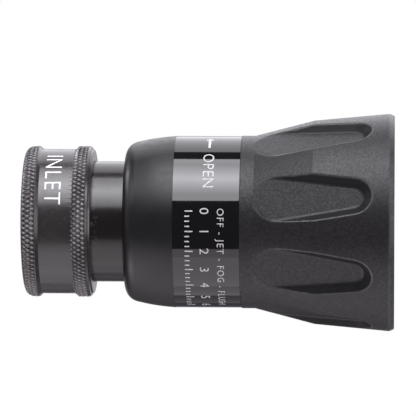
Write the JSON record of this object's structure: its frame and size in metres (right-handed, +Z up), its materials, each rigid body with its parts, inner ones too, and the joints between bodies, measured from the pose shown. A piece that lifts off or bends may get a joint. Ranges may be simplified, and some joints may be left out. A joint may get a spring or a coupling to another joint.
{
  "type": "fire hose nozzle",
  "caption": "Compact fire hose nozzle with a knurled swivel coupling and a fluted bumper sleeve that is turned to go from shut through straight stream and fog to flush.",
  "frame": {"origin": "on the nozzle's axis, where the inlet thread starts, 1 mm inside the coupling's end face", "axes": "+X along the axis, the way the water leaves; +Z up with the nozzle held level; +Y to the far side"},
  "size_m": [0.1216, 0.0716, 0.0716],
  "materials": {
    "coupling_black": "black anodised, knurled",
    "base_black": "black anodised, turned",
    "bare_aluminium": "clear anodised, turned",
    "steel": "stainless",
    "tooth_steel": "stainless, machined",
    "seal_rubber": "matte",
    "washer_plastic": "natural acetal",
    "cover_plastic": "fine matte texture",
    "label_gloss": "high gloss",
    "bumper_rubber": "matte, fine grain"
  },
  "bodies": {
    "coupling": {"swivel_coupling": "coupling_black", "inlet_gasket": "seal_rubber", "swivel_balls": "steel", "ball_plug": "steel"},
    "base": {"base_body": "base_black", "inlet_screen": "steel", "screen_clip": "steel", "stem_spider": "bare_aluminium", "spider_ring": "steel", "stem": "steel", "stem_nut": "steel", "baffle_head": "bare_aluminium", "baffle_seal": "seal_rubber", "baffle_screw": "steel", "spigot_orings": "seal_rubber", "cam_pins": "steel"},
    "tube": {"discharge_tube": "bare_aluminium", "guide_pins": "steel", "thrust_washer": "washer_plastic", "tube_snap_ring": "steel"},
    "sleeve": {"sleeve_core": "base_black", "rear_cover": "cover_plastic", "neck_wiper": "seal_rubber", "label_band": "label_gloss", "bumper": "bumper_rubber", "tooth_ring_clip": "steel"},
    "teeth": {"tooth_ring": "tooth_steel"}
  },
  "joints": [
    {"name": "coupling_swivel", "type": "hinge", "parent": "coupling", "child": "base", "pos_m": [0.0183, 0, 0], "axis": [1, 0, 0], "continuous": true},
    {"name": "tube_slide", "type": "slide", "parent": "base", "child": "tube", "axis": [-1, 0, 0], "range_m": [0, 0.008]},
    {"name": "sleeve_turn", "type": "hinge", "parent": "tube", "child": "sleeve", "pos_m": [0.0888, 0, 0], "axis": [-1, 0, 0], "range_deg": [0, 180]},
    {"name": "teeth_spin", "type": "hinge", "parent": "sleeve", "child": "teeth", "pos_m": [0.107, 0, 0], "axis": [1, 0, 0], "continuous": true}
  ],
  "couplings": [
    {"joint": "sleeve_turn", "follows": "tube_slide", "rad_per_m": 392.7}
  ]
}
